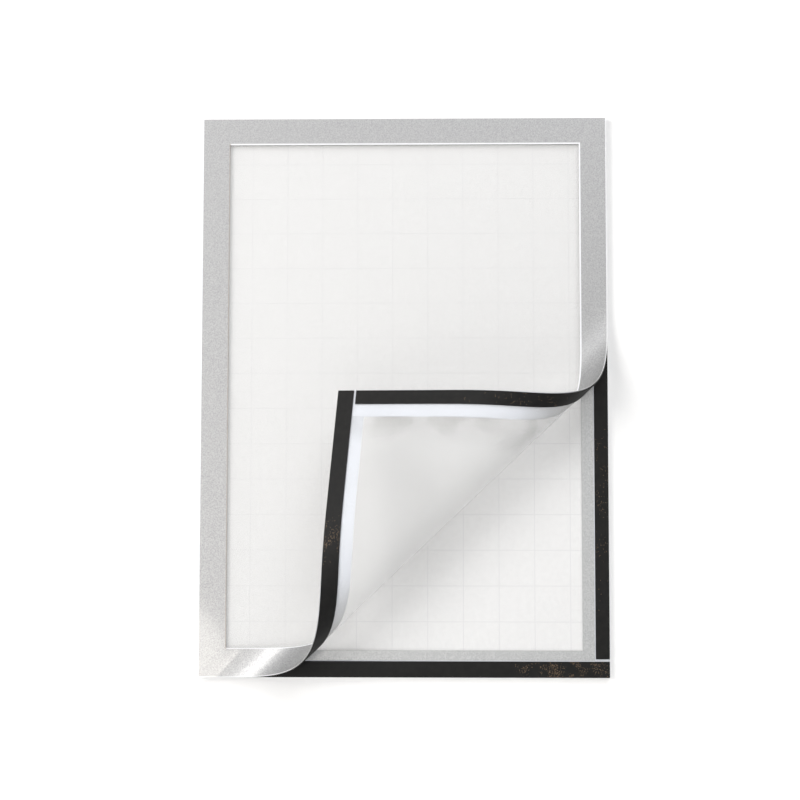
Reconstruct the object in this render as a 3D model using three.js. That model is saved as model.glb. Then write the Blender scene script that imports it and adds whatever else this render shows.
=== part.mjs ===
// A self-adhesive display frame for one sheet, with a magnetic cover whose
// lower right corner is peeled off its base and rolled back on itself.
// Millimetres. The frame stands upright: X to the right, Z up, and it faces -Y.
// The origin is the centre of the back, on the wall. Depths are measured from
// the wall towards the viewer, so a depth of 2 is y = -2.
import * as THREE from 'three';

// The sheet that the frame shows, and what the frame adds around it.
const sheetWidth = 210;
const sheetHeight = 297;
const marginPastSheet = 10;
const borderWidth = 15;

// The cover's window sits a little off the middle, as it does on the real one.
const windowShiftRight = 0.4;
const windowShiftUp = 0.8;

// Film, adhesive and strip thicknesses, from the wall outwards.
const linerThickness = 0.15;
const adhesiveThickness = 0.1;
const backFilmThickness = 0.3;
const backBorderThickness = 0.2;
const stripThickness = 0.5;
const coverFilmThickness = 0.25;
const coverBorderThickness = 0.25;
const glueLine = 0.05;

// Flexible magnet strips. The long ones lie along the top and bottom edges.
const edgeStripWidth = 9;
const sideStripWidth = 7.8;
const stripEndGap = 1.35;
const coverStripInset = 0.3;

// The strip that bonds the cover to the base along its left side.
const hingeStripWidth = 8;
const hingeStripGap = 1;

// The curl of the cover: the slope of its fold line, how far the corner lies
// past the line where the cover lifts off, and the bend from there on. The bend
// eases in, runs round at one radius and eases out again.
const foldSlopeDegrees = 43.55;
const liftOffToCorner = 158;
const bendRadius = 22.5;
const bendTurnDegrees = 200;
const easeInLength = 23;
const easeOutLength = 47;
const stationSpacing = 2.6;
const integrationStep = 0.2;

// Two lengths closer than this are one.
const closeness = 1e-6;

// Faces of the layers, as depths from the wall.
const frameWidth = sheetWidth + 2 * marginPastSheet;
const frameHeight = sheetHeight + 2 * marginPastSheet;
const linerFront = linerThickness;
const adhesiveFront = linerFront + adhesiveThickness;
const backFilmFront = adhesiveFront + backFilmThickness;
const backBorderFront = backFilmFront + backBorderThickness;
const baseStripFront = backBorderFront + stripThickness;
const coverStripFront = baseStripFront + stripThickness;
const coverFilmBack = coverStripFront + glueLine;
const coverFilmFront = coverFilmBack + coverFilmThickness;
const coverBorderBack = coverFilmFront + glueLine;
const coverBorderFront = coverBorderBack + coverBorderThickness;

// Edges of the frame, seen from the front.
const right = frameWidth / 2;
const left = -right;
const top = frameHeight / 2;
const bottom = -top;

// The fold: `across` points at the loose corner, `along` runs up the fold line.
const foldSlope = THREE.MathUtils.degToRad(foldSlopeDegrees);
const across = new THREE.Vector2(Math.sin(foldSlope), -Math.cos(foldSlope));
const along = new THREE.Vector2(Math.cos(foldSlope), Math.sin(foldSlope));
const cornerReach = across.dot(new THREE.Vector2(right, bottom));
const liftOffReach = cornerReach - liftOffToCorner;
const bendTurn = THREE.MathUtils.degToRad(bendTurnDegrees);
const roundLength = bendRadius * bendTurn - (easeInLength + easeOutLength) / 2;
const bendLength = easeInLength + roundLength + easeOutLength;

const finishes = {
  liner: { color: 0xf4f2ec, roughness: 0.55, metalness: 0 },
  adhesive: { color: 0xf2f1ec, roughness: 0.35, metalness: 0 },
  clearFilm: { color: 0xeceae6, roughness: 0.3, metalness: 0 },
  silver: { color: 0xc4c5c6, roughness: 0.42, metalness: 0.6 },
  magnet: { color: 0x26272a, roughness: 0.55, metalness: 0.1 },
  hingeTape: { color: 0xdcdcd8, roughness: 0.6, metalness: 0 },
};

const frame = new THREE.Group();

function addPiece(name, geometry, finish) {
  const piece = new THREE.Mesh(geometry, new THREE.MeshStandardMaterial(finishes[finish]));
  piece.name = name;
  frame.add(piece);
}

function rectangle(x0, x1, z0, z1) {
  const path = [[x0, z0], [x1, z0], [x1, z1], [x0, z1]];
  return path.map(([x, z]) => new THREE.Vector2(x, z));
}

// An outline is a list of loops: the outer edge first, then its holes.
const fullSheet = [rectangle(left, right, bottom, top)];

function borderRing(shiftRight, shiftUp) {
  return [
    fullSheet[0],
    rectangle(
      left + borderWidth + shiftRight,
      right - borderWidth + shiftRight,
      bottom + borderWidth + shiftUp,
      top - borderWidth + shiftUp,
    ),
  ];
}

// The magnet strips of one layer, pulled in from the edges by `inset`.
function stripOutlines(inset) {
  const start = left + hingeStripWidth + hingeStripGap;
  const end = right - inset;
  const bottomInner = bottom + inset + edgeStripWidth;
  const topInner = top - inset - edgeStripWidth;
  return {
    bottom: [rectangle(start, end, bottom + inset, bottomInner)],
    right: [rectangle(end - sideStripWidth, end, bottomInner + stripEndGap, topInner - stripEndGap)],
    top: [rectangle(start, end, topInner, top - inset)],
  };
}

// A flat film: the outline, extruded between two depths.
function flatFilm(outline, back, front) {
  const shape = new THREE.Shape(outline[0]);
  shape.holes = outline.slice(1).map((loop) => new THREE.Path(loop));
  const film = new THREE.ExtrudeGeometry(shape, { depth: front - back, bevelEnabled: false });
  film.rotateX(Math.PI / 2);
  film.translate(0, -back, 0);
  return film;
}

// How far the cover has turned, a given length past the lift-off line.
function headingAt(length) {
  if (length <= 0) return 0;
  if (length < easeInLength) return length ** 2 / (2 * easeInLength * bendRadius);
  if (length < easeInLength + roundLength) return (length - easeInLength / 2) / bendRadius;
  const remaining = Math.max(bendLength - length, 0);
  return bendTurn - remaining ** 2 / (2 * easeOutLength * bendRadius);
}

// The cover's section across the fold, as points at the given lengths past the
// lift-off line: where each one lies in the wall's plane, how high it has risen
// and how far the cover has turned there.
function foldSection(lengths) {
  let length = 0;
  let reach = 0;
  let rise = 0;
  return lengths.map((target) => {
    if (target <= 0) return { length: target, reach: target, rise: 0, heading: 0 };
    const steps = Math.ceil((target - length) / integrationStep);
    const step = (target - length) / Math.max(steps, 1);
    for (let i = 0; i < steps; i += 1) {
      const heading = headingAt(length + step / 2);
      reach += Math.cos(heading) * step;
      rise += Math.sin(heading) * step;
      length += step;
    }
    return { length: target, reach, rise, heading: headingAt(target) };
  });
}

// A loop's corners as (length past the lift-off line, place along the fold).
function foldPlaces(loop) {
  return loop.map((corner) => ({
    length: across.dot(corner) - liftOffReach,
    place: along.dot(corner),
  }));
}

function withoutRepeats(sorted) {
  return sorted.filter((value, i) => i === 0 || value - sorted[i - 1] > closeness);
}

function valuesBetween(values, lowest, highest) {
  return values.filter((value) => value > lowest - closeness && value < highest + closeness);
}

// The cover's layers share one set of rulings, so their facets stay parallel.
// Every corner of every layer lies on a ruling of its own.
function sharedRulings(outlines) {
  const corners = outlines.flat().flatMap(foldPlaces).map((corner) => corner.length);
  const bend = [];
  const count = Math.ceil(bendLength / stationSpacing);
  for (let i = 0; i <= count; i += 1) bend.push((bendLength * i) / count);
  const isClear = (length) => corners.every((other) => Math.abs(other - length) > stationSpacing / 4);
  return withoutRepeats([...corners, ...bend.filter(isClear)].sort((a, b) => a - b));
}

// Between two neighbouring rulings a film is a row of plane trapezoids, each
// held between two of its outline's edges.
function trapezoids(outline, start, end) {
  const middle = (start + end) / 2;
  const crossings = [];
  outline.map(foldPlaces).forEach((loop) => {
    loop.forEach((from, i) => {
      const to = loop[(i + 1) % loop.length];
      if ((from.length - middle) * (to.length - middle) >= 0) return;
      const placeAt = (length) =>
        from.place + ((to.place - from.place) * (length - from.length)) / (to.length - from.length);
      crossings.push({ middle: placeAt(middle), start: placeAt(start), end: placeAt(end) });
    });
  });
  crossings.sort((a, b) => a.middle - b.middle);
  const found = [];
  for (let i = 0; i + 1 < crossings.length; i += 2) {
    found.push({ low: crossings[i], high: crossings[i + 1] });
  }
  return found;
}

// A film that follows the curl: the outline between two depths, bent over the
// fold as a general cylinder about the cover film's middle.
function curledFilm(outline, back, front, section) {
  const neutral = (coverFilmBack + coverFilmFront) / 2;
  const strips = section.slice(1).map((next, i) => trapezoids(outline, section[i].length, next.length));
  const placesOn = section.map((station, i) => {
    const before = (strips[i - 1] ?? []).flatMap(({ low, high }) => [low.end, high.end]);
    const after = (strips[i] ?? []).flatMap(({ low, high }) => [low.start, high.start]);
    return withoutRepeats([...before, ...after].sort((a, b) => a - b));
  });

  const positions = [];
  const point = (station, place, depth) => {
    const offset = depth - neutral;
    const reach = liftOffReach + station.reach - offset * Math.sin(station.heading);
    const height = neutral + station.rise + offset * Math.cos(station.heading);
    const flat = across.clone().multiplyScalar(reach).addScaledVector(along, place);
    return new THREE.Vector3(flat.x, -height, flat.y);
  };
  const addTriangle = (a, b, c) => positions.push(...a.toArray(), ...b.toArray(), ...c.toArray());
  const addFan = (loop) => {
    const hub = new THREE.Vector3();
    loop.forEach((corner) => hub.addScaledVector(corner, 1 / loop.length));
    loop.forEach((corner, i) => addTriangle(hub, corner, loop[(i + 1) % loop.length]));
  };
  const addWall = (here, next, herePlace, nextPlace, turned) => {
    const wall = [
      point(here, herePlace, front),
      point(here, herePlace, back),
      point(next, nextPlace, back),
      point(next, nextPlace, front),
    ];
    const [a, b, c, d] = turned ? wall.reverse() : wall;
    addTriangle(a, b, c);
    addTriangle(a, c, d);
  };

  strips.forEach((strip, i) => {
    const here = section[i];
    const next = section[i + 1];
    strip.forEach(({ low, high }) => {
      const up = valuesBetween(placesOn[i + 1], low.end, high.end);
      const down = valuesBetween(placesOn[i], low.start, high.start);
      const loop = [
        ...up.map((place) => ({ station: next, place })),
        ...down.reverse().map((place) => ({ station: here, place })),
      ];
      addFan(loop.map(({ station, place }) => point(station, place, front)));
      addFan(loop.map(({ station, place }) => point(station, place, back)).reverse());
      addWall(here, next, low.start, low.end, false);
      addWall(here, next, high.start, high.end, true);
    });
  });

  const film = new THREE.BufferGeometry();
  film.setAttribute('position', new THREE.Float32BufferAttribute(positions, 3));
  film.computeVertexNormals();
  return film;
}

function addBase() {
  addPiece('release_liner', flatFilm(fullSheet, 0, linerFront), 'liner');
  addPiece('adhesive_film', flatFilm(fullSheet, linerFront, adhesiveFront), 'adhesive');
  addPiece('back_panel', flatFilm(fullSheet, adhesiveFront, backFilmFront), 'clearFilm');
  addPiece('back_border', flatFilm(borderRing(0, 0), backFilmFront, backBorderFront), 'silver');
  Object.entries(stripOutlines(0)).forEach(([side, outline]) => {
    addPiece(`base_magnet_${side}`, flatFilm(outline, backBorderFront, baseStripFront), 'magnet');
  });
}

function addHinge() {
  const outline = [rectangle(left, left + hingeStripWidth, bottom, top)];
  addPiece('hinge_strip', flatFilm(outline, backBorderFront, coverFilmBack), 'hingeTape');
}

function addCover() {
  const border = borderRing(windowShiftRight, windowShiftUp);
  const strips = stripOutlines(coverStripInset);
  const section = foldSection(sharedRulings([fullSheet, border, ...Object.values(strips)]));
  Object.entries(strips).forEach(([side, outline]) => {
    const strip = curledFilm(outline, baseStripFront, coverStripFront, section);
    addPiece(`cover_magnet_${side}`, strip, 'magnet');
  });
  addPiece('cover_window', curledFilm(fullSheet, coverFilmBack, coverFilmFront, section), 'clearFilm');
  addPiece('cover_border', curledFilm(border, coverBorderBack, coverBorderFront, section), 'silver');
}

addBase();
addHinge();
addCover();

export default frame;
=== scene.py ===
import math

import bmesh
import bpy
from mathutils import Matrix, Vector


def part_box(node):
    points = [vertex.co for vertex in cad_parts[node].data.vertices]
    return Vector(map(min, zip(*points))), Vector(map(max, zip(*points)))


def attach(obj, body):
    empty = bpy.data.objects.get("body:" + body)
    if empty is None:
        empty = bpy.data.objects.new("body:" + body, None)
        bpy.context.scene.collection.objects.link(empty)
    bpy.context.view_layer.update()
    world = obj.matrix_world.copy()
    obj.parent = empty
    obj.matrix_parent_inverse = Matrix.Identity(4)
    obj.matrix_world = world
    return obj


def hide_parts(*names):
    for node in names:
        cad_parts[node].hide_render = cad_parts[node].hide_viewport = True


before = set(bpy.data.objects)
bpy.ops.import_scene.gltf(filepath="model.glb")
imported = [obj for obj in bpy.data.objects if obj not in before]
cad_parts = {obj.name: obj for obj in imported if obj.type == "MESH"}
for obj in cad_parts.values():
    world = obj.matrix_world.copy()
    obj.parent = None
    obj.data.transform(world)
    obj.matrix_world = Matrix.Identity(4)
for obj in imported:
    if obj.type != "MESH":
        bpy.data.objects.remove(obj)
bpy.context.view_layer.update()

mm = 0.001


class Wire:  # a node socket that can be calculated with
    def __init__(self, tree, socket=None):
        self.tree = tree
        self.socket = socket

    def node(self, kind, settings=None, inputs=None, output=0):
        made = self.tree.nodes.new(kind)
        for name, value in (settings or {}).items():
            setattr(made, name, value)
        for name, value in (inputs or {}).items():
            if isinstance(value, Wire):
                self.tree.links.new(value.socket, made.inputs[name])
            else:
                made.inputs[name].default_value = value
        return Wire(self.tree, made.outputs[output] if len(made.outputs) else None)

    def out(self, name):
        return Wire(self.tree, self.socket.node.outputs[name])

    def maths(self, operation, first, second=0.0):
        return self.node("ShaderNodeMath", {"operation": operation}, {0: first, 1: second})

    def __add__(self, other):
        return self.maths("ADD", self, other)

    def __sub__(self, other):
        return self.maths("SUBTRACT", self, other)

    def __mul__(self, other):
        return self.maths("MULTIPLY", self, other)

    def __truediv__(self, other):
        return self.maths("DIVIDE", self, other)

    def __rsub__(self, other):
        return self.maths("SUBTRACT", other, self)

    __radd__ = __add__
    __rmul__ = __mul__

    def __gt__(self, other):
        return self.maths("GREATER_THAN", self, other)

    def __lt__(self, other):
        return self.maths("LESS_THAN", self, other)

    def absolute(self):
        return self.maths("ABSOLUTE", self)

    def between(self, low, high):
        return self.node("ShaderNodeClamp", None, {"Value": self, "Min": low, "Max": high})

    def ramp(self, low, high, fromLow=0.0, fromHigh=1.0):
        places = {"From Min": fromLow, "From Max": fromHigh, "To Min": low, "To Max": high}
        return self.node("ShaderNodeMapRange", None, {"Value": self, **places})

    def parts(self):
        split = self.node("ShaderNodeSeparateXYZ", None, {0: self})
        return split, split.out("Y"), split.out("Z")


def colour(red, green, blue):  # 0 to 255 as seen on a screen, to the linear numbers that shaders take
    linear = [((v / 255 + 0.055) / 1.055) ** 2.4 if v > 10 else v / 255 / 12.92 for v in (red, green, blue)]
    return (*linear, 1.0)


def mixColour(factor, first, second):
    return factor.node("ShaderNodeMix", {"data_type": "RGBA"}, {0: factor, 6: first, 7: second}, output=2)


def newMaterial(name):
    material = bpy.data.materials.new(name)
    material.use_nodes = True
    tree = material.node_tree
    tree.nodes.clear()
    return material, Wire(tree)


def finishSurface(wire, fixed, linked=None, bump=None):
    inputs = dict(fixed)
    inputs.update(linked or {})
    if bump:
        height, strength, distance = bump
        inputs["Normal"] = wire.node(
            "ShaderNodeBump", None, {"Height": height, "Strength": strength, "Distance": distance}
        )
    shader = wire.node("ShaderNodeBsdfPrincipled", None, inputs)
    wire.node("ShaderNodeOutputMaterial", None, {"Surface": shader})


# The camera stands low and a little to the right, and looks up at the frame.
camera = {
    "lens": 85.47,
    "sensorWidth": 36,
    "distance": 1075.1 * mm,
    "azimuth": 1.381,
    "elevation": -5.088,
    "roll": 0.077,
    "aim": (-2.22 * mm, 0.0, -2.88 * mm),
}


def makeCamera():
    side, lift = math.radians(camera["azimuth"]), math.radians(camera["elevation"])
    back = Vector((math.sin(side) * math.cos(lift), -math.cos(side) * math.cos(lift), math.sin(lift)))
    data = bpy.data.cameras.new("photoCamera")
    data.lens = camera["lens"]
    data.sensor_width = camera["sensorWidth"]
    made = bpy.data.objects.new("photoCamera", data)
    bpy.context.scene.collection.objects.link(made)
    made.matrix_world = (-back).to_track_quat("-Z", "Y").to_matrix().to_4x4()
    made.rotation_euler.rotate_axis("Z", math.radians(camera["roll"]))
    made.location = Vector(camera["aim"]) + back * camera["distance"]
    bpy.context.scene.camera = made


makeCamera()
print("camera placed")

# The film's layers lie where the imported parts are. Depths count from the wall towards the viewer.
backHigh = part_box("back_panel")[1]
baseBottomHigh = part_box("base_magnet_bottom")[1]
baseRightLow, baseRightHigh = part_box("base_magnet_right")
coverTopLow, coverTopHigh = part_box("cover_magnet_top")
halfWidth = backHigh.x
halfHeight = backHigh.z

cover = {
    "filmThickness": 0.25 * mm,
    "borderThickness": 0.25 * mm,
    "glueLine": 0.05 * mm,
    "borderWidth": 15 * mm,
    "windowShiftRight": 0.4 * mm,
    "windowShiftUp": 0.8 * mm,
    "stripEndGap": 1.35 * mm,
}

curl = {
    "foldSlope": math.radians(43.55),
    "liftOffToCorner": 158 * mm,
    "bendRadius": 22.5 * mm,
    "bendTurn": math.radians(200),
    "easeIn": 23 * mm,
    "easeOut": 47 * mm,
    "rulingSpacing": 0.8 * mm,
    "sectionPoints": 900,
    "mergeDistance": 0.002 * mm,
    "sharpFrom": math.radians(35),
}

coverStripBack = -coverTopHigh.y
coverStripFront = -coverTopLow.y
coverFilmBack = coverStripFront + cover["glueLine"]
coverFilmFront = coverFilmBack + cover["filmThickness"]
coverBorderBack = coverFilmFront + cover["glueLine"]
coverNeutral = (coverFilmBack + coverFilmFront) / 2
acrossFold = Vector((math.sin(curl["foldSlope"]), 0, -math.cos(curl["foldSlope"])))
liftOffReach = acrossFold.dot(Vector((halfWidth, 0, -halfHeight))) - curl["liftOffToCorner"]
roundLength = curl["bendRadius"] * curl["bendTurn"] - (curl["easeIn"] + curl["easeOut"]) / 2
bendLength = curl["easeIn"] + roundLength + curl["easeOut"]


def makeCurlTree():
    tree = bpy.data.node_groups.new("curlSheet", "GeometryNodeTree")
    sizes = {
        "Thickness": cover["filmThickness"],
        "Back Depth": coverFilmBack,
        "Neutral Depth": coverNeutral,
        "Fold Slope": curl["foldSlope"],
        "Lift-off Reach": liftOffReach,
        "Bend Radius": curl["bendRadius"],
        "Ease In": curl["easeIn"],
        "Round Length": roundLength,
        "Ease Out": curl["easeOut"],
        "Section Length": curl["liftOffToCorner"] + curl["easeIn"],
    }
    tree.interface.new_socket("Geometry", in_out="INPUT", socket_type="NodeSocketGeometry")
    for name, value in sizes.items():
        tree.interface.new_socket(name, in_out="INPUT", socket_type="NodeSocketFloat").default_value = value
    for name in ("Front", "Back", "Edge"):
        tree.interface.new_socket(name, in_out="INPUT", socket_type="NodeSocketMaterial")
    tree.interface.new_socket("Geometry", in_out="OUTPUT", socket_type="NodeSocketGeometry")
    wire = Wire(tree)
    given = wire.node("NodeGroupInput")
    size = {name: given.out(name) for name in sizes}

    def heading(length):
        rising = length.between(0.0, size["Ease In"])
        steady = (length - size["Ease In"]).between(0.0, size["Round Length"])
        easing = (length - size["Ease In"] - size["Round Length"]).between(0.0, size["Ease Out"])
        turned = rising * rising / (size["Ease In"] * 2.0) + steady
        turned = turned + easing - easing * easing / (size["Ease Out"] * 2.0)
        return turned / size["Bend Radius"]

    count = curl["sectionPoints"]
    step = size["Section Length"] / (count - 1.0)
    here = heading((wire.node("GeometryNodeInputIndex") + 0.5) * step)
    stride = wire.node(
        "ShaderNodeCombineXYZ",
        None,
        {0: wire.maths("COSINE", here) * step, 1: wire.maths("SINE", here) * step},
    )
    summed = wire.node(
        "GeometryNodeAccumulateField", {"data_type": "FLOAT_VECTOR"}, {0: stride}, output="Trailing"
    )
    line = wire.node("GeometryNodeMeshLine", None, {"Count": count})
    bent = wire.node("GeometryNodeSetPosition", None, {"Geometry": line, "Position": summed})
    section = wire.node("GeometryNodeMeshToCurve", None, {"Mesh": bent})

    sheet = given.out("Geometry")
    under = wire.node("GeometryNodeFlipFaces", None, {"Mesh": sheet})
    raised = wire.node(
        "GeometryNodeExtrudeMesh",
        {"mode": "FACES"},
        {"Mesh": sheet, "Offset Scale": size["Thickness"], "Individual": False},
    )
    joined = wire.node("GeometryNodeJoinGeometry")
    for part in (under, raised):
        tree.links.new(part.socket, joined.socket.node.inputs[0])
    merging = {"Geometry": joined, "Distance": curl["mergeDistance"]}
    closed = wire.node("GeometryNodeMergeByDistance", None, merging)
    place = wire.node("GeometryNodeInputPosition")
    kept = wire.node(
        "GeometryNodeStoreNamedAttribute",
        {"data_type": "FLOAT_VECTOR", "domain": "POINT"},
        {"Geometry": closed, "Name": "flatPlace", "Value": place},
    )

    x, y, z = place.parts()
    sine, cosine = wire.maths("SINE", size["Fold Slope"]), wire.maths("COSINE", size["Fold Slope"])
    length = x * sine - z * cosine - size["Lift-off Reach"]
    along = x * cosine + z * sine
    offset = size["Back Depth"] - y - size["Neutral Depth"]
    past = wire.maths("MAXIMUM", length, 0.0)
    before = wire.maths("MINIMUM", length, 0.0)
    sampled = {"Curves": section, "Length": past}
    found = wire.node("GeometryNodeSampleCurve", {"mode": "LENGTH"}, sampled, "Position")
    reach, rise, nothing = found.parts()
    turned = heading(past)
    reach = size["Lift-off Reach"] + reach + before - offset * wire.maths("SINE", turned)
    height = size["Neutral Depth"] + rise + offset * wire.maths("COSINE", turned)
    moved = wire.node(
        "ShaderNodeCombineXYZ",
        None,
        {0: reach * sine + along * cosine, 1: 0.0 - height, 2: along * sine - reach * cosine},
    )
    curled = wire.node("GeometryNodeSetPosition", None, {"Geometry": kept, "Position": moved})
    real = wire.node("GeometryNodeRealizeInstances", None, {"Geometry": curled})
    painted = wire.node("GeometryNodeSetMaterial", None, {0: real, "Material": given.out("Back")})
    for faces, material in (("Top", "Front"), ("Side", "Edge")):
        chosen = {0: painted, "Selection": raised.out(faces), "Material": given.out(material)}
        painted = wire.node("GeometryNodeSetMaterial", None, chosen)
    wire.node("NodeGroupOutput", None, {0: painted})
    return tree


curlTree = makeCurlTree()


def slicedSheet(name, rectangles):  # a flat sheet that faces the viewer, cut along the rulings
    mesh = bpy.data.meshes.new(name)
    form = bmesh.new()
    for x0, x1, z0, z1 in rectangles:
        form.faces.new([form.verts.new((x, 0, z)) for x, z in ((x0, z0), (x1, z0), (x1, z1), (x0, z1))])
    bmesh.ops.remove_doubles(form, verts=form.verts, dist=0.001 * mm)
    count = math.ceil(bendLength / curl["rulingSpacing"])
    for i in range(count + 1):
        reach = liftOffReach + bendLength * i / count
        everything = form.verts[:] + form.edges[:] + form.faces[:]
        bmesh.ops.bisect_plane(
            form, geom=everything, dist=0.0001 * mm, plane_co=acrossFold * reach, plane_no=acrossFold
        )
    bmesh.ops.recalc_face_normals(form, faces=form.faces)
    if form.faces[:][0].normal.y > 0:
        bmesh.ops.reverse_faces(form, faces=form.faces)
    form.to_mesh(mesh)
    form.free()
    made = bpy.data.objects.new(name, mesh)
    bpy.context.scene.collection.objects.link(made)
    return made


def curlPiece(name, rectangles, back, thickness, materials, replaced):
    piece = slicedSheet(name, rectangles)
    modifier = piece.modifiers.new("curl", "NODES")
    modifier.node_group = curlTree
    sockets = {s.name: s.identifier for s in curlTree.interface.items_tree if s.in_out == "INPUT"}
    modifier[sockets["Thickness"]] = thickness
    modifier[sockets["Back Depth"]] = back
    for socket, material in zip(("Front", "Back", "Edge"), materials):
        modifier[sockets[socket]] = material
    evaluated = piece.evaluated_get(bpy.context.evaluated_depsgraph_get())
    mesh = bpy.data.meshes.new_from_object(evaluated)
    piece.modifiers.clear()
    piece.data = mesh
    mesh.shade_smooth()
    mesh.set_sharp_from_angle(angle=curl["sharpFrom"])
    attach(piece, "root")
    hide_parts(replaced)
    print(f"{name}: {len(mesh.polygons)} faces")


silver = {
    "light": colour(176, 176, 176),
    "dark": colour(145, 145, 147),
    "baseLight": colour(186, 187, 187),
    "baseDark": colour(160, 161, 162),
    "grainPerMetre": 2000,
    "flakesPerMetre": 1400,
    "metallic": 0.7,
    "dullest": 0.49,  # roughness
    "shiniest": 0.37,
    "bump": (0.12, 0.02 * mm),  # strength and depth
    "coat": 0.3,
    "coatRoughness": 0.07,
    "bareColour": colour(246, 247, 250),  # the white core, where there is no print
    "lipWidth": 0.85 * mm,  # what shows of it inside the print, at the right and the top
    "lowLipWidth": 0.45 * mm,
    "rimWidth": 0.35 * mm,
    "paintedEdgeShadeColour": colour(150, 136, 122),  # painted shade: the thin brown line at the window's left edge, whose edge faces away from the light
    "paintedEdgeShadeWidth": 0.3 * mm,
    "paleLineColour": colour(226, 230, 238),  # a pale line beside the magnets of the base
    "paleLineWidth": 0.5 * mm,
    "tintShare": 0.7,  # how much of the painted edge shade and of the pale line beside the base's magnets shows over the silver
}


def silverFinish(wire, place, light, dark):
    grain = wire.node(
        "ShaderNodeTexNoise", None, {"Vector": place, "Scale": silver["grainPerMetre"], "Detail": 2.0}
    )
    flake = wire.node("ShaderNodeTexVoronoi", None, {"Vector": place, "Scale": silver["flakesPerMetre"]})
    spread = (grain * 0.6 + flake.out("Distance") * 0.4).ramp(0.0, 1.0, 0.25, 0.65)
    roughness = spread.ramp(silver["dullest"], silver["shiniest"])
    height = grain + flake.out("Distance") * 0.5
    return mixColour(spread, dark, light), roughness, (height, *silver["bump"])


def finishSilver(wire, tone, bare, roughness, bump):
    finishSurface(
        wire,
        {"Coat Weight": silver["coat"], "Coat Roughness": silver["coatRoughness"]},
        {"Base Color": tone, "Roughness": roughness, "Metallic": (1 - bare) * silver["metallic"]},
        bump=bump,
    )


def makeSilverCover():
    material, wire = newMaterial("silverCover")
    place = wire.node("ShaderNodeAttribute", {"attribute_name": "flatPlace"}, output="Vector")
    tone, roughness, bump = silverFinish(wire, place, silver["light"], silver["dark"])
    x, y, z = place.parts()
    printLeft = -halfWidth + cover["borderWidth"] + cover["windowShiftRight"]
    printRight = halfWidth - cover["borderWidth"] + cover["windowShiftRight"]
    printTop = halfHeight - cover["borderWidth"] + cover["windowShiftUp"]
    printBottom = -halfHeight + cover["borderWidth"] + cover["windowShiftUp"]
    lip = (x > printLeft) * (x < printRight) * (z < printTop) * (z > printBottom)
    sideRim = x.absolute() > halfWidth - silver["rimWidth"]
    rim = wire.maths("MAXIMUM", sideRim, z < silver["rimWidth"] - halfHeight)
    bare = wire.maths("MAXIMUM", lip, rim)
    # painted shade: a thin brown line along the window's left edge
    paintedShade = (x > printLeft - silver["paintedEdgeShadeWidth"]) * (x < printLeft + silver["paintedEdgeShadeWidth"])
    paintedShade = paintedShade * (z < printTop) * (z > printBottom)
    tone = mixColour(bare, tone, silver["bareColour"])
    tone = mixColour(paintedShade * silver["tintShare"], tone, silver["paintedEdgeShadeColour"])
    finishSilver(wire, tone, bare, roughness, bump)
    return material


def makeSilverBase():
    material, wire = newMaterial("silverBase")
    place = wire.node("ShaderNodeTexCoord", output="Object")
    tone, roughness, bump = silverFinish(wire, place, silver["baseLight"], silver["baseDark"])
    x, y, z = place.parts()
    besideRight = x > baseRightLow.x - silver["paleLineWidth"]
    besideBottom = z < baseBottomHigh.z + silver["paleLineWidth"]
    bare = wire.maths("MAXIMUM", besideRight, besideBottom)
    tone = mixColour(bare * silver["tintShare"], tone, silver["paleLineColour"])
    finishSilver(wire, tone, bare, roughness, bump)
    return material


whiteCore = {
    "light": colour(233, 238, 247),
    "dark": colour(229, 233, 242),
    "turned": colour(186, 182, 174),  # painted shade where it goes round the roll and faces away from the light, counted from where the cover lifts off
    "rollShadeShare": 0.75,
    "rollShadeFrom": 75 * mm,
    "rollShadeTo": 45 * mm,
    "grainPerMetre": 900,
    "roughness": 0.5,
    "bump": (0.05, 0.02 * mm),
}


def makeWhiteCore():
    material, wire = newMaterial("whiteCore")
    place = wire.node("ShaderNodeAttribute", {"attribute_name": "flatPlace"}, output="Vector")
    grain = wire.node(
        "ShaderNodeTexNoise", None, {"Vector": place, "Scale": whiteCore["grainPerMetre"], "Detail": 2.0}
    )
    tone = mixColour(grain.ramp(0.0, 1.0, 0.35, 0.65), whiteCore["dark"], whiteCore["light"])
    x, y, z = place.parts()
    # painted shade on the white core where it turns round the roll
    length = x * acrossFold.x + z * acrossFold.z - liftOffReach
    turned = length.ramp(0.0, whiteCore["rollShadeShare"], whiteCore["rollShadeFrom"], whiteCore["rollShadeTo"])
    tone = mixColour(turned, tone, whiteCore["turned"])
    bump = (grain, *whiteCore["bump"])
    finishSurface(wire, {"Roughness": whiteCore["roughness"]}, {"Base Color": tone}, bump=bump)
    return material


matteFilm = {
    "light": colour(247, 247, 247),
    "dark": colour(241, 241, 240),
    # painted shade: soft grey clouds on the lifted film
    "paintedShadeCloud": colour(220, 220, 219),
    "paintedShade": colour(172, 170, 167),  # painted shadow: soft grey patches on the rolled part, beside the white band, where the band and the magnets shade what lies under the film
    "shadeAlpha": 0.12,
    "besideBand": (84 * mm, 99 * mm),
    "shadeAcross": (40 * mm, 90 * mm),
    "shadeAlong": (-80 * mm, -25 * mm),
    "shadeFromRoll": (40 * mm, 58 * mm),
    "closedAlpha": 0.14,
    "liftedAlpha": 0.22,
    "liftStarts": 4 * mm,
    "liftEnds": 16 * mm,
    "noises": ((700, 3), (28, 2), (60, 1)),  # grain, the clouds of painted shade and the patches of painted shadow: cells in a metre and detail
    "roughness": 0.4,
    "bump": (0.05, 0.02 * mm),
}


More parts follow.
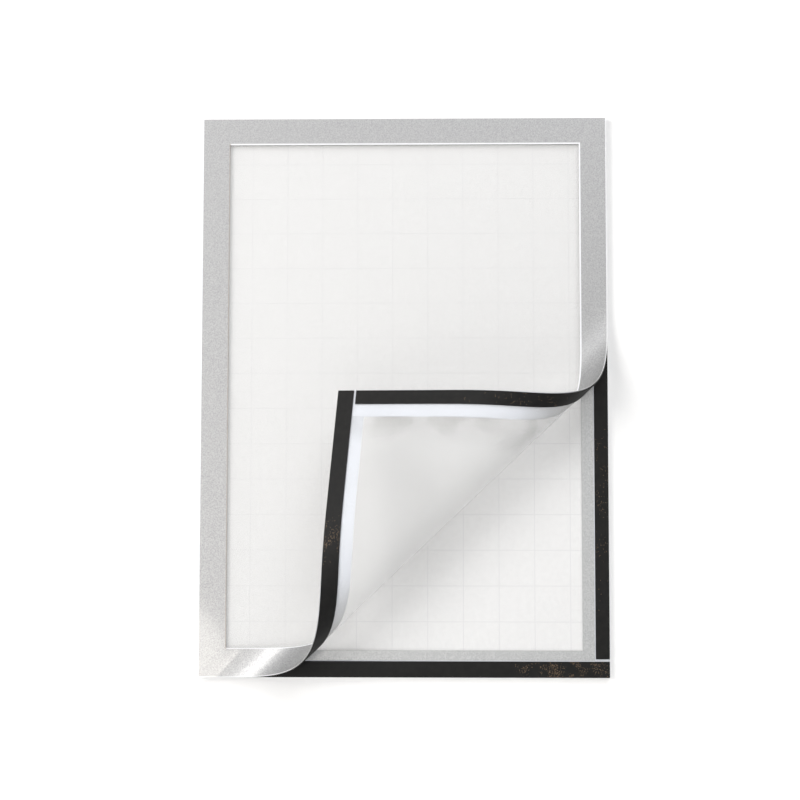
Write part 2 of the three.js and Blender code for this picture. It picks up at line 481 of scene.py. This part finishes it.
def makeMatteFilm():
    material, wire = newMaterial("matteFilm")
    flat = wire.node("ShaderNodeAttribute", {"attribute_name": "flatPlace"}, output="Vector")
    x, depth, z = wire.node("ShaderNodeTexCoord", output="Object").parts()
    lifted = (0.0 - depth).ramp(0.0, 1.0, matteFilm["liftStarts"], matteFilm["liftEnds"])
    grain, paintedShadeCloud, patchy = (
        wire.node("ShaderNodeTexNoise", None, {"Vector": flat, "Scale": perMetre, "Detail": detail})
        for perMetre, detail in matteFilm["noises"]
    )
    tone = mixColour(grain.ramp(0.0, 1.0, 0.3, 0.7), matteFilm["dark"], matteFilm["light"])
    # painted shade: soft grey clouds where the film is lifted
    tone = mixColour(paintedShadeCloud.ramp(0.0, 0.2, 0.35, 0.7) * lifted, tone, matteFilm["paintedShadeCloud"])
    across, flatDepth, along = flat.parts()
    # painted shadow of the white band and the magnets on the rolled-over film, in the window
    beside = across.ramp(0.0, 0.7, *matteFilm["besideBand"])
    above = across.ramp(0.0, 1.0, *matteFilm["shadeAcross"]) * along.ramp(0.0, 1.0, *matteFilm["shadeAlong"])
    inWindow = across < halfWidth - cover["borderWidth"]
    length = across * acrossFold.x + along * acrossFold.z - liftOffReach
    rolledOver = length.ramp(0.0, 1.0, *matteFilm["shadeFromRoll"])
    paintedShade = wire.maths("MAXIMUM", beside, above) * patchy.ramp(0.4, 1.0, 0.4, 0.6) * rolledOver * inWindow
    tone = mixColour(paintedShade, tone, matteFilm["paintedShade"])
    alpha = lifted.ramp(matteFilm["closedAlpha"], matteFilm["liftedAlpha"]) + paintedShade * matteFilm["shadeAlpha"]
    finishSurface(
        wire,
        {"Roughness": matteFilm["roughness"], "IOR": 1.45},
        {"Base Color": tone, "Alpha": alpha},
        bump=(grain, *matteFilm["bump"]),
    )
    return material


clearBack = {
    "colour": colour(246, 245, 242),
    "alpha": 0.015,
    "grainPerMetre": 600,
    "shiniest": 0.2,
    "dullest": 0.3,
    "bump": (0.04, 0.02 * mm),
    "linerGap": 0.03 * mm,  # no face of the film lies in the same plane as the paper or the print
    "printGap": 0.01 * mm,
    "edgeRound": 0.06 * mm,
}


def makeClearFilm():
    material, wire = newMaterial("clearFilm")
    place = wire.node("ShaderNodeTexCoord", output="Object")
    grain = wire.node(
        "ShaderNodeTexNoise", None, {"Vector": place, "Scale": clearBack["grainPerMetre"], "Detail": 2.0}
    )
    finishSurface(
        wire,
        {"Base Color": clearBack["colour"], "Alpha": clearBack["alpha"], "IOR": 1.45},
        {"Roughness": grain.ramp(clearBack["shiniest"], clearBack["dullest"])},
        bump=(grain, *clearBack["bump"]),
    )
    return material


liner = {
    "front": colour(235, 235, 235),
    "dark": colour(230, 230, 230),
    "line": colour(223, 223, 224),
    "backLine": colour(178, 182, 186),
    "pitch": 20 * mm,
    "lineWidth": 0.45 * mm,
    "firstUpright": -86.5 * mm,
    "firstLevel": 132.4 * mm,
    "backDepth": 0.02 * mm,
    "fibresPerMetre": 350,
    "roughness": 0.5,
    "bump": (0.08, 0.03 * mm),
}


def makeLiner():
    material, wire = newMaterial("linerPaper")
    place = wire.node("ShaderNodeTexCoord", output="Object")
    x, depth, z = place.parts()

    def lines(value, first):
        cell = wire.maths("FRACT", (value - first) / liner["pitch"] + 0.5 + 40.0)  # 40 more: not negative
        return (cell - 0.5).absolute() < liner["lineWidth"] / 2 / liner["pitch"]

    printed = wire.maths("MAXIMUM", lines(x, liner["firstUpright"]), lines(z, liner["firstLevel"]))
    fibre = wire.node(
        "ShaderNodeTexNoise", None, {"Vector": place, "Scale": liner["fibresPerMetre"], "Detail": 4.0}
    )
    paper = mixColour(fibre.ramp(0.0, 1.0, 0.3, 0.7), liner["dark"], liner["front"])
    onBack = depth > -liner["backDepth"]
    line = mixColour(onBack, liner["line"], liner["backLine"])
    finishSurface(
        wire,
        {"Roughness": liner["roughness"]},
        {"Base Color": mixColour(printed, paper, line)},
        bump=(fibre, *liner["bump"]),
    )
    return material


magnet = {
    "dark": colour(7, 7, 7),
    "light": colour(20, 19, 18),
    "speck": colour(150, 124, 98),
    "specksPerMetre": 3200,
    "speckSize": 0.42,
    "streaksPerMetre": 260,
    "driftsPerMetre": 160,
    "shiniest": 0.37,
    "dullest": 0.55,
    "bump": (0.15, 0.05 * mm),
    "specular": 0.2,
    # patches of painted glints, where the grain catches the light: the axis along the strip, the centre, the
    # reach, the share of specks
    "flatPatches": [("x", 92 * mm, 34 * mm, 0.55), ("z", -60 * mm, 70 * mm, 0.07)],
    "bentPatches": [("x", 30 * mm, 14 * mm, 0.35), ("z", -55 * mm, 40 * mm, 0.07)],
}


def makeMagnet(name, bent):
    material, wire = newMaterial(name)
    if bent:
        place = wire.node("ShaderNodeAttribute", {"attribute_name": "flatPlace"}, output="Vector")
    else:
        place = wire.node("ShaderNodeTexCoord", output="Object")
    streak = wire.node(
        "ShaderNodeTexNoise", None, {"Vector": place, "Scale": magnet["streaksPerMetre"], "Detail": 4.0}
    )
    cell = wire.node("ShaderNodeTexVoronoi", None, {"Vector": place, "Scale": magnet["specksPerMetre"]})
    chance = cell.out("Color").parts()[0]
    drift = wire.node(
        "ShaderNodeTexNoise", None, {"Vector": place, "Scale": magnet["driftsPerMetre"], "Detail": 2.0}
    )
    x, y, z = place.parts()
    paintedGlints = None
    for axis, centre, reach, share in magnet["bentPatches" if bent else "flatPatches"]:
        along = x if axis == "x" else z
        onStrip = z < baseBottomHigh.z if axis == "x" else x > baseRightLow.x
        patch = (along - centre).absolute().ramp(share, 0.0, 0.0, reach) * onStrip
        paintedGlints = patch if paintedGlints is None else wire.maths("MAXIMUM", paintedGlints, patch)
    paintedGlints = paintedGlints * drift.ramp(0.0, 1.0, 0.42, 0.62)
    # painted glints: brownish sparkle specks where the grain catches the light
    speck = (cell.out("Distance") < magnet["speckSize"]) * (chance < paintedGlints)
    tone = mixColour(streak.ramp(0.0, 1.0, 0.3, 0.7), magnet["dark"], magnet["light"])
    tone = mixColour(speck * chance.ramp(1.0, 0.3), tone, magnet["speck"])
    finishSurface(
        wire,
        {"Specular IOR Level": magnet["specular"]},
        {"Base Color": tone, "Roughness": streak.ramp(magnet["shiniest"], magnet["dullest"])},
        bump=(streak, *magnet["bump"]),
    )
    return material


tape = {
    "dark": colour(206, 206, 202),
    "light": colour(232, 232, 228),
    "cellsPerMetre": 2500,
    "roughness": 0.8,
    "bump": (0.2, 0.05 * mm),
}


def makeTape():
    material, wire = newMaterial("foamTape")
    place = wire.node("ShaderNodeTexCoord", output="Object")
    foam = wire.node("ShaderNodeTexVoronoi", None, {"Vector": place, "Scale": tape["cellsPerMetre"]})
    tone = mixColour(foam.ramp(0.0, 1.0, 0.0, 0.6), tape["dark"], tape["light"])
    finishSurface(wire, {"Roughness": tape["roughness"]}, {"Base Color": tone}, bump=(foam, *tape["bump"]))
    return material


def makeClearBack():  # the base film and its adhesive, bonded all over, are one clear sheet
    low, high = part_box("back_panel")
    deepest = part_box("adhesive_film")[1].y - clearBack["linerGap"]
    nearest = low.y + clearBack["printGap"]
    mesh = bpy.data.meshes.new("clear_base")
    form = bmesh.new()
    corners = ((low.x, low.z), (high.x, low.z), (high.x, high.z), (low.x, high.z))
    face = form.faces.new([form.verts.new((x, deepest, z)) for x, z in corners])
    raised = bmesh.ops.extrude_face_region(form, geom=[face])["geom"]
    front = [part for part in raised if isinstance(part, bmesh.types.BMVert)]
    bmesh.ops.translate(form, verts=front, vec=(0, nearest - deepest, 0))
    bmesh.ops.recalc_face_normals(form, faces=form.faces)
    bmesh.ops.bevel(
        form, geom=form.edges[:], offset=clearBack["edgeRound"], segments=2, affect="EDGES", profile=0.5
    )
    form.to_mesh(mesh)
    form.free()
    mesh.materials.append(makeClearFilm())
    sheet = bpy.data.objects.new("clear_base", mesh)
    bpy.context.scene.collection.objects.link(sheet)
    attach(sheet, "root")
    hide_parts("back_panel", "adhesive_film")


makeClearBack()
silverCover = makeSilverCover()
coreMaterial = makeWhiteCore()
filmMaterial = makeMatteFilm()
magnetBent = makeMagnet("magnetBent", True)
nodeMaterials = {  # pieces that are shown as they were packed
    "release_liner": makeLiner(),
    "back_border": makeSilverBase(),
    "hinge_strip": makeTape(),
}
magnetFlat = makeMagnet("magnetFlat", False)
for node in ("base_magnet_bottom", "base_magnet_right", "base_magnet_top", "cover_magnet_top"):
    nodeMaterials[node] = magnetFlat
for node, material in nodeMaterials.items():
    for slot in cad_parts[node].material_slots:
        slot.material = material
print("materials made")


def ringRectangles(left, right, bottom, top):  # a ring round a window, as rectangles that meet edge to edge
    return [
        (-halfWidth, left, -halfHeight, bottom),
        (left, right, -halfHeight, bottom),
        (right, halfWidth, -halfHeight, bottom),
        (-halfWidth, left, bottom, top),
        (right, halfWidth, bottom, top),
        (-halfWidth, left, top, halfHeight),
        (left, right, top, halfHeight),
        (right, halfWidth, top, halfHeight),
    ]


def makeCover():
    sideInner = halfWidth - cover["borderWidth"]
    topInner = halfHeight - cover["borderWidth"]
    right, up = cover["windowShiftRight"], cover["windowShiftUp"]
    lip, lowLip = silver["lipWidth"], silver["lowLipWidth"]
    hole = (-sideInner + right, sideInner + right - lip, -topInner + up + lowLip, topInner + up - lip)
    curlPiece(
        "window_film",
        [(-halfWidth, halfWidth, -halfHeight, halfHeight)],
        coverFilmBack,
        cover["filmThickness"],
        (filmMaterial, filmMaterial, filmMaterial),
        "cover_window",
    )
    curlPiece(
        "border_film",
        ringRectangles(*hole),
        coverBorderBack,
        cover["borderThickness"],
        (silverCover, coreMaterial, coreMaterial),
        "cover_border",
    )
    inset = halfWidth - coverTopHigh.x
    stripStart = coverTopLow.x
    edgeWidth = coverTopHigh.z - coverTopLow.z
    sideWidth = baseRightHigh.x - baseRightLow.x
    stripEnd = coverTopHigh.x
    lower = -halfHeight + inset
    stripBack, stripThickness = coverStripBack, coverStripFront - coverStripBack
    curlPiece(
        "bottom_magnet",
        [(stripStart, stripEnd, lower, lower + edgeWidth)],
        stripBack,
        stripThickness,
        (magnetBent, magnetBent, magnetBent),
        "cover_magnet_bottom",
    )
    gap = cover["stripEndGap"]
    curlPiece(
        "right_magnet",
        [(stripEnd - sideWidth, stripEnd, lower + edgeWidth + gap, -lower - edgeWidth - gap)],
        stripBack,
        stripThickness,
        (magnetBent, magnetBent, magnetBent),
        "cover_magnet_right",
    )


makeCover()
print("cover made")

studio = {
    "worldOnObject": 0.34,
    "wallGap": 2.2 * mm,
    "wallSize": 3.0,
    "wallColour": (1.0, 1.0, 1.0, 1.0),
    "wallGlow": 0.05,
    "floorDrop": 0.55,
    "floorColour": colour(248, 248, 247),
}

lamps = [  # name, place, size, watts, colour
    ("keyLamp", (0.4, -1.3, 1.45), 1.4, 16.8, (0.97, 0.98, 1.0)),
    ("leftLamp", (-1.25, -1.45, 0.3), 1.1, 18.5, (1.0, 0.98, 0.96)),
    ("cornerLamp", (-0.345, -1.5, -0.22), 0.15, 1.2, (1.0, 0.95, 0.88)),
    ("backLamp", (0.4, 1.6, 0.6), 1.4, 14.0, (1.0, 1.0, 1.0)),
]


def makeStage():
    world = bpy.data.worlds.new("studioWorld")
    bpy.context.scene.world = world
    world.use_nodes = True
    world.node_tree.nodes.clear()
    wire = Wire(world.node_tree)
    path = wire.node("ShaderNodeLightPath", output="Is Camera Ray")
    seen = wire.maths("MAXIMUM", path, path.out("Is Glossy Ray"))
    seen = wire.maths("MAXIMUM", seen, path.out("Is Transmission Ray"))
    sky = wire.node(
        "ShaderNodeBackground",
        None,
        {"Color": (1, 1, 1, 1), "Strength": seen * (1 - studio["worldOnObject"]) + studio["worldOnObject"]},
    )
    wire.node("ShaderNodeOutputWorld", None, {"Surface": sky})

    half = studio["wallSize"] / 2
    square = ((-half, -half), (half, -half), (half, half), (-half, half))
    wall = stageSheet("wall", [(x, studio["wallGap"], z) for x, z in square])
    wall.data.materials.append(makeWallMaterial())
    floor = stageSheet("floor", [(x, y, -halfHeight - studio["floorDrop"]) for x, y in square])
    floor.data.materials.append(makeFloorMaterial())
    for name, place, size, watts, tint in lamps:
        data = bpy.data.lights.new(name, "AREA")
        data.shape = "DISK"
        data.size = size
        data.energy = watts
        data.color = tint
        lamp = bpy.data.objects.new(name, data)
        lamp.location = place
        lamp.rotation_mode = "QUATERNION"
        lamp.rotation_quaternion = Vector(place).to_track_quat("Z", "Y")
        bpy.context.scene.collection.objects.link(lamp)


def stageSheet(name, corners):
    mesh = bpy.data.meshes.new(name)
    mesh.from_pydata(corners, [], [(0, 1, 2, 3)])
    made = bpy.data.objects.new(name, mesh)
    bpy.context.scene.collection.objects.link(made)
    return made


def makeWallMaterial():  # seen from the front only, so that the frame's back can be looked at
    material, wire = newMaterial("wallPaint")
    path = wire.node("ShaderNodeLightPath", output="Is Camera Ray")
    behind = wire.node("ShaderNodeNewGeometry", output="Backfacing")
    paint = wire.node(
        "ShaderNodeBsdfPrincipled",
        None,
        {
            "Base Color": studio["wallColour"],
            "Roughness": 1.0,
            "Specular IOR Level": 0.0,
            "Emission Color": (1, 1, 1, 1),
            "Emission Strength": studio["wallGlow"],
        },
    )
    clear = wire.node("ShaderNodeBsdfTransparent")
    shown = wire.node("ShaderNodeMixShader", None, {0: path * (1 - behind), 1: clear, 2: paint})
    wire.node("ShaderNodeOutputMaterial", None, {"Surface": shown})
    return material


def makeFloorMaterial():
    material, wire = newMaterial("floorPaint")
    finishSurface(wire, {"Base Color": studio["floorColour"], "Roughness": 0.8})
    return material


makeStage()
bpy.context.scene.view_settings.view_transform = "Standard"
bpy.context.scene.cycles.transparent_max_bounces = 32  # light crosses up to ten faces of clear film each way
print("stage made")
